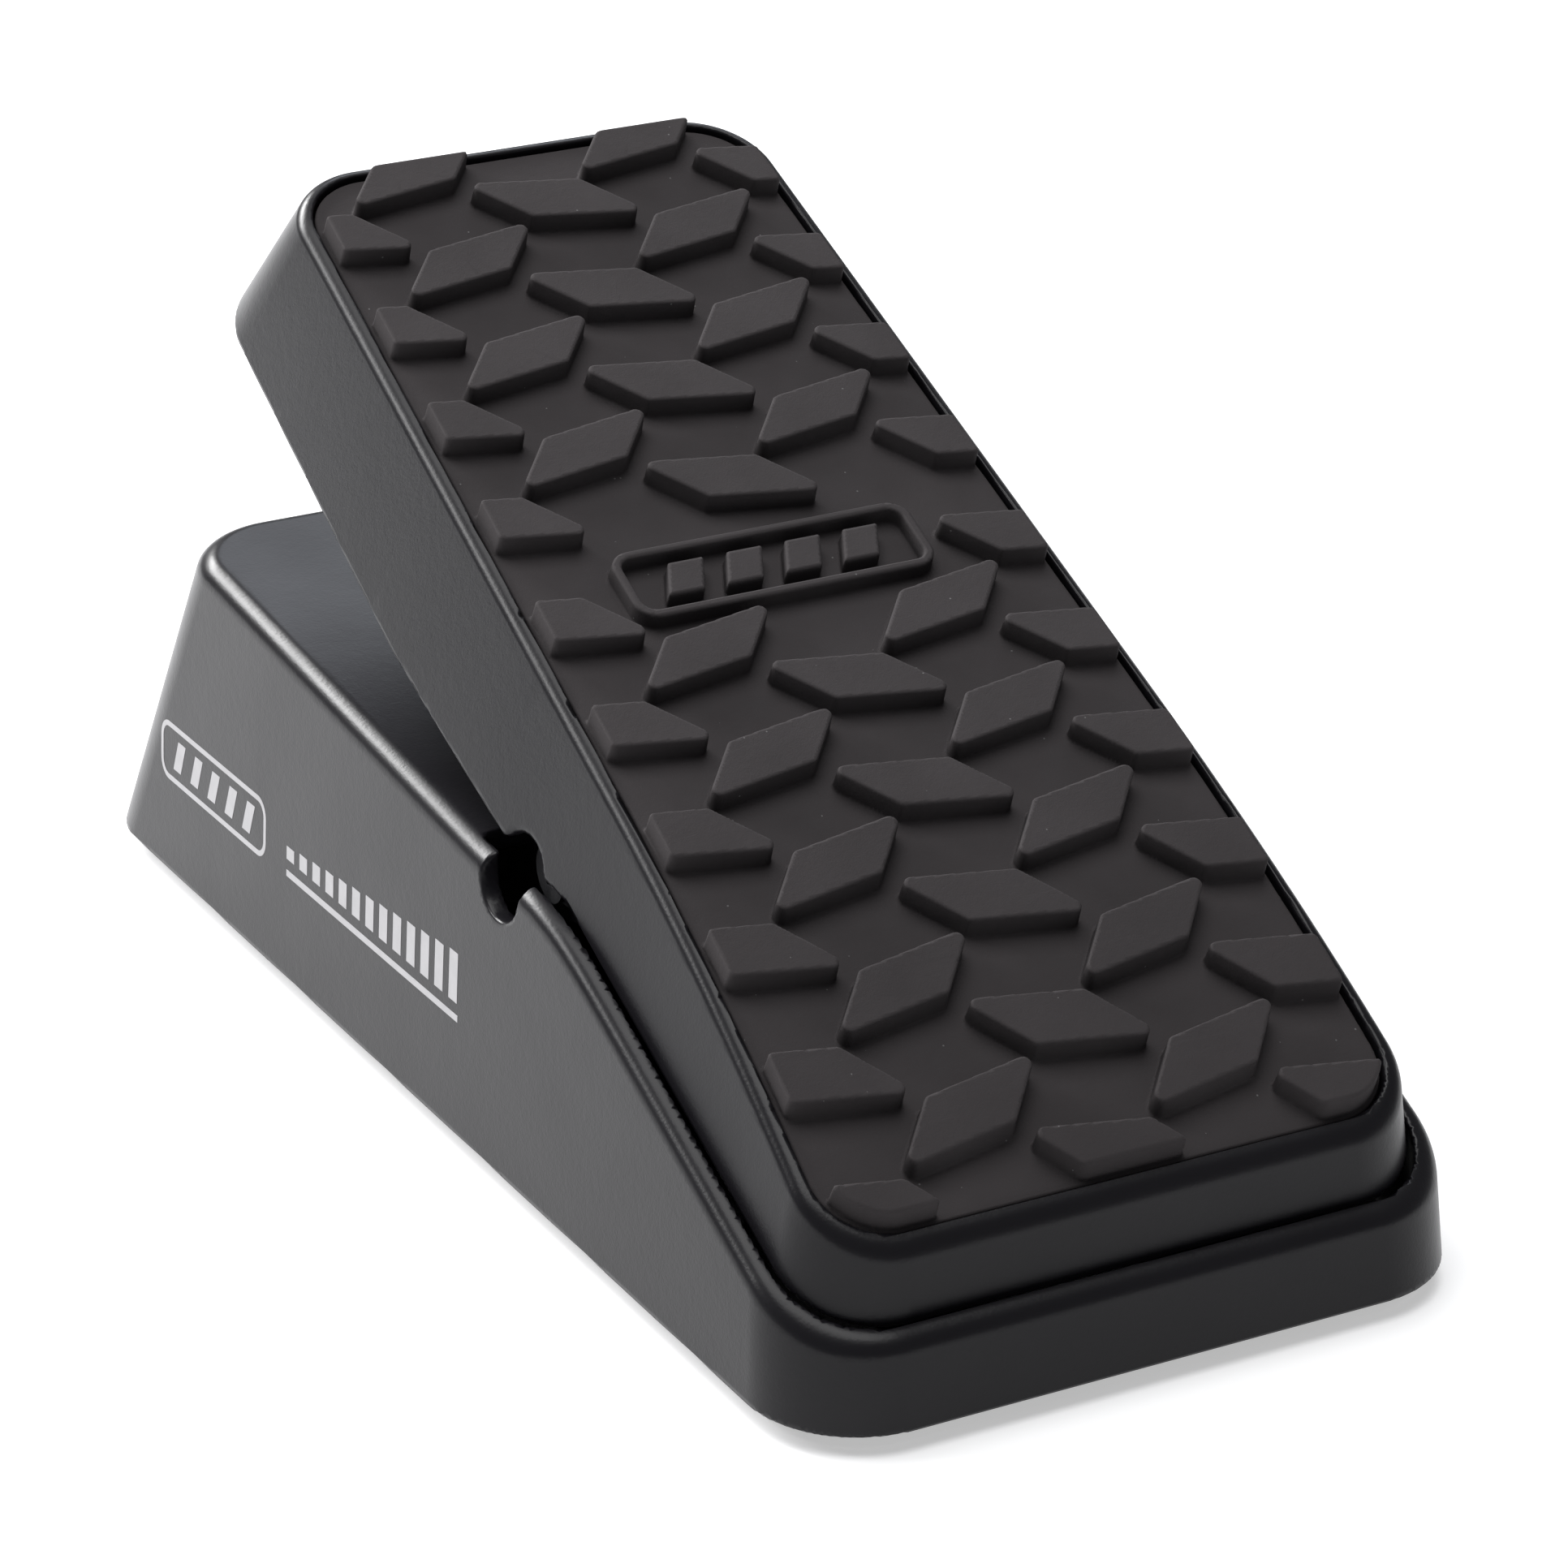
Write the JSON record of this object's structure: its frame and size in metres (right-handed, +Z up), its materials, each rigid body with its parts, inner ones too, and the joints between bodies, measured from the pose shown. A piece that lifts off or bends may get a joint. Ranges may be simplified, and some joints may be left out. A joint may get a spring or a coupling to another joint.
{
  "type": "volume pedal",
  "caption": "Compact rocker volume pedal: drafted metal base, tilting treadle with ribbed rubber mat, side tension screw, band drive and toe-end cable jacks.",
  "frame": {"origin": "centre of the rubber feet's ground plane, under the middle of the base", "axes": "+Z up, +Y towards the toe end with the jacks, -Y the heel end, -X the side with the tension screw"},
  "size_m": [0.0986, 0.203, 0.1015],
  "materials": {
    "black_paint": "satin powder coat",
    "plate_steel": "matte black plate",
    "zinc_steel": "zinc plated",
    "screw_black": "black oxide",
    "rubber": "matte",
    "tread_rubber": "matte, fine grain",
    "black_nylon": "matte",
    "jack_plastic": "satin",
    "board_green": "solder mask",
    "part_plastic": "moulded",
    "bracket_steel": "plain sheet",
    "pot_metal": "plated can",
    "wire_plastic": "sleeved wire",
    "axle_steel": "ground rod",
    "sector_aluminium": "machined",
    "band_steel": "spring strip",
    "drum_brass": "turned",
    "shaft_aluminium": "turned"
  },
  "bodies": {
    "base": {"base_casting": "black_paint", "bottom_plate": "plate_steel", "plate_screws": "zinc_steel", "rubber_feet": "rubber", "pivot_bushes": "black_nylon", "heel_bumpers": "rubber", "input_jack": "jack_plastic", "output_jack": "jack_plastic", "aux_jack": "jack_plastic", "jack_nuts": "zinc_steel", "jack_washers": "zinc_steel", "circuit_board": "board_green", "board_parts": "part_plastic", "board_screws": "zinc_steel", "pot_bracket": "bracket_steel", "bracket_screws": "zinc_steel", "pot_body": "pot_metal", "pot_nut": "zinc_steel", "pot_washer": "zinc_steel", "wiring": "wire_plastic"},
    "treadle": {"treadle_casting": "black_paint", "tread_mat": "tread_rubber", "pivot_axle": "axle_steel", "axle_clip": "zinc_steel", "tension_washer": "zinc_steel", "toe_bumpers": "rubber", "drive_sector": "sector_aluminium", "sector_screws": "zinc_steel", "drive_band": "band_steel", "band_screws": "zinc_steel"},
    "tension_screw": {"tension_screw": "screw_black"},
    "drum": {"drive_drum": "drum_brass", "drum_set_screw": "zinc_steel", "pot_shaft": "shaft_aluminium"}
  },
  "joints": [
    {"name": "treadle_rock", "type": "hinge", "parent": "base", "child": "treadle", "pos_m": [0, -0.024, 0.0405], "axis": [1, 0, 0], "range_deg": [-13.5, 0]},
    {"name": "tension_turn", "type": "hinge", "parent": "treadle", "child": "tension_screw", "pos_m": [-0.038, -0.024, 0.0405], "axis": [-1, 0, 0], "range_deg": [-180, 180]},
    {"name": "drum_spin", "type": "hinge", "parent": "base", "child": "drum", "pos_m": [0, 0.02002, 0.01807], "axis": [1, 0, 0], "range_deg": [-1, 131]}
  ],
  "couplings": [
    {"joint": "drum_spin", "follows": "treadle_rock", "ratio": -9.6}
  ]
}
